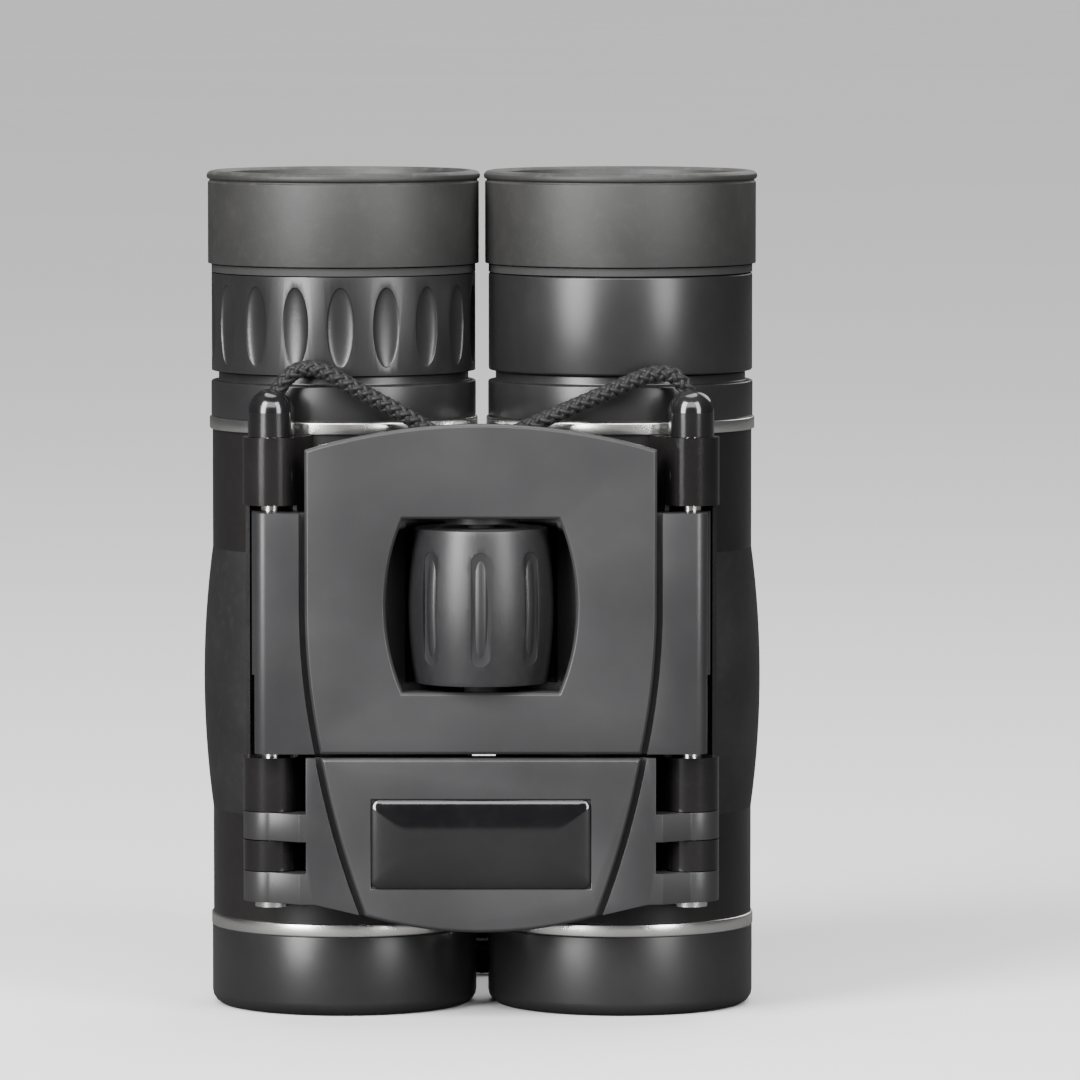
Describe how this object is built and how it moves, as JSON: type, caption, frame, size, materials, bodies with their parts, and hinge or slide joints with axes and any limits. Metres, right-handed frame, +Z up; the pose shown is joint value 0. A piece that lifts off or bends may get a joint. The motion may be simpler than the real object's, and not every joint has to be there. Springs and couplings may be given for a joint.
{
  "type": "compact folding binoculars",
  "caption": "Compact double-hinge roof-prism binoculars, folded, with a central focus wheel in a bridge, a dioptre ring, rubber eyecups and a braided neck strap.",
  "frame": {"origin": "middle of the underside of the folded binoculars, on the surface that the objective ends stand on, measured without the strap", "axes": "+Z up towards the eyepieces, -Y towards the bridge and focus wheel, +X across towards the user's left barrel"},
  "size_m": [0.0634, 0.0748, 0.095],
  "materials": {
    "barrel_black": "satin black painted shell",
    "ring_black": "satin black moulded rings",
    "bridge_black": "satin dark grey moulding",
    "plate_black": "fine-grained satin dark grey cover",
    "cap_black": "polished black",
    "label_gloss": "domed clear resin over black",
    "grip_rubber": "soft matte black rubber",
    "cup_rubber": "soft matte black rubber",
    "wheel_rubber": "satin black rubber",
    "tie_rubber": "black elastic band",
    "bright_trim": "polished trim ring",
    "bright_steel": "polished steel",
    "brass_parts": "turned brass",
    "yoke_metal": "plain milled aluminium",
    "inner_black": "matt black anodised",
    "clear_glass": "clear optical glass",
    "coated_glass": "coated optical glass",
    "strap_cord": "braided black nylon"
  },
  "bodies": {
    "bridge": {"upper_bridge_frame": "bridge_black", "lower_bridge_frame": "bridge_black", "upper_cover_plate": "plate_black", "lower_cover_plate": "plate_black", "label_plate": "label_gloss", "rear_bridge_cover": "bridge_black", "right_hinge_rod": "bright_steel", "left_hinge_rod": "bright_steel", "right_strap_cap": "cap_black", "left_strap_cap": "cap_black", "rod_end_screws": "bright_steel", "cover_screws": "bright_steel", "wheel_bushes": "brass_parts", "right_strap_run": "strap_cord", "left_strap_run": "strap_cord", "strap_coil": "strap_cord", "strap_tie": "tie_rubber"},
    "focus_wheel": {"focus_wheel_tyre": "wheel_rubber", "focus_wheel_hub": "inner_black", "focus_screw": "bright_steel"},
    "focus_yoke": {"focus_yoke": "yoke_metal", "focus_nut": "brass_parts"},
    "right_barrel": {"right_barrel_shell": "barrel_black", "right_grip_pad": "grip_rubber", "right_objective_ring": "ring_black", "right_lower_trim_ring": "bright_trim", "right_upper_trim_ring": "bright_trim", "right_collar": "ring_black", "right_prism_cage": "inner_black", "right_half_penta_prism": "clear_glass", "right_roof_prism": "clear_glass"},
    "right_objective": {"right_objective_cell": "inner_black", "right_objective_lens": "coated_glass", "right_objective_retainer": "inner_black"},
    "left_barrel": {"left_barrel_shell": "barrel_black", "left_grip_pad": "grip_rubber", "left_objective_ring": "ring_black", "left_lower_trim_ring": "bright_trim", "left_upper_trim_ring": "bright_trim", "left_collar": "ring_black", "left_prism_cage": "inner_black", "left_half_penta_prism": "clear_glass", "left_roof_prism": "clear_glass", "left_ocular_ring": "ring_black", "left_eyepiece_tube": "inner_black", "left_field_lens": "clear_glass", "left_eye_lens": "coated_glass", "left_eyecup": "cup_rubber"},
    "left_objective": {"left_objective_cell": "inner_black", "left_objective_lens": "coated_glass", "left_objective_retainer": "inner_black"},
    "right_diopter_dial": {"right_diopter_ring": "ring_black"},
    "right_eyepiece": {"right_eyepiece_tube": "inner_black", "right_field_lens": "clear_glass", "right_eye_lens": "coated_glass", "right_eyecup": "cup_rubber"}
  },
  "joints": [
    {"name": "right_barrel_fold", "type": "hinge", "parent": "bridge", "child": "right_barrel", "pos_m": [-0.0235, -0.01218, 0], "axis": [0, 0, 1], "range_deg": [0, 65]},
    {"name": "left_barrel_fold", "type": "hinge", "parent": "bridge", "child": "left_barrel", "pos_m": [0.0235, -0.01218, 0], "axis": [0, 0, -1], "range_deg": [0, 65]},
    {"name": "focus_wheel_turn", "type": "hinge", "parent": "bridge", "child": "focus_wheel", "pos_m": [0, -0.01218, 0], "axis": [0, 0, 1], "range_deg": [-225, 225]},
    {"name": "focus_yoke_slide", "type": "slide", "parent": "bridge", "child": "focus_yoke", "axis": [0, 0, 1], "range_m": [-0.0013, 0.0013]},
    {"name": "right_objective_slide", "type": "slide", "parent": "right_barrel", "child": "right_objective", "axis": [0, 0, 1], "range_m": [-0.0013, 0.0013]},
    {"name": "left_objective_slide", "type": "slide", "parent": "left_barrel", "child": "left_objective", "axis": [0, 0, 1], "range_m": [-0.0013, 0.0013]},
    {"name": "right_diopter_turn", "type": "hinge", "parent": "right_eyepiece", "child": "right_diopter_dial", "pos_m": [-0.01575, 0.00483, 0], "axis": [0, 0, 1], "range_deg": [-45, 45]},
    {"name": "right_eyepiece_slide", "type": "slide", "parent": "right_barrel", "child": "right_eyepiece", "axis": [0, 0, 1], "range_m": [-0.0008, 0.0008]}
  ],
  "couplings": [
    {"joint": "focus_wheel_turn", "follows": "focus_yoke_slide", "rad_per_m": 3020},
    {"joint": "right_objective_slide", "follows": "focus_yoke_slide", "ratio": 1},
    {"joint": "left_objective_slide", "follows": "focus_yoke_slide", "ratio": 1},
    {"joint": "right_diopter_turn", "follows": "right_eyepiece_slide", "rad_per_m": 981}
  ]
}
